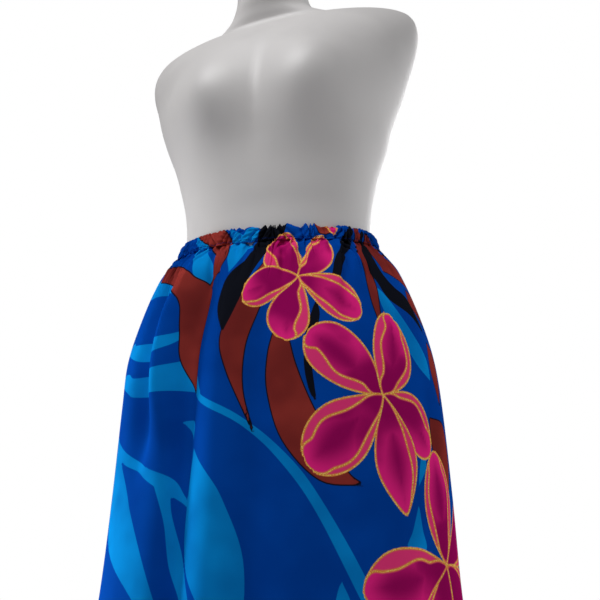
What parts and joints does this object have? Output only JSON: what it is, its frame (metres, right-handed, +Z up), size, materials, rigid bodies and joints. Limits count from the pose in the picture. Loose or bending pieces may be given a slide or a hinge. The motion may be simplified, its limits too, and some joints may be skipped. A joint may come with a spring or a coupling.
{
  "type": "maxi skirt on a dress form",
  "caption": "Long A-line skirt with a gathered elastic waist, printed with large flowers and leaves, on a limbless dress form with a pole and round base.",
  "frame": {"origin": "middle of the base plate's underside, on the floor", "axes": "+Z up along the pole, -Y towards the viewer of the skirt's front, +X to that viewer's right"},
  "size_m": [0.524, 0.4487, 1.5397],
  "materials": {
    "printed_cloth": "satin polyester crepe, royal blue ground with a large flower and leaf print",
    "form_shell": "smooth satin moulded shell, warm white",
    "stand_chrome": "polished tube",
    "stand_steel": "satin steel plate"
  },
  "bodies": {
    "root": {"skirt_front": "printed_cloth", "skirt_back": "printed_cloth", "casing_front": "printed_cloth", "casing_back": "printed_cloth", "torso": "form_shell", "pole": "stand_chrome", "base": "stand_steel"}
  },
  "joints": []
}
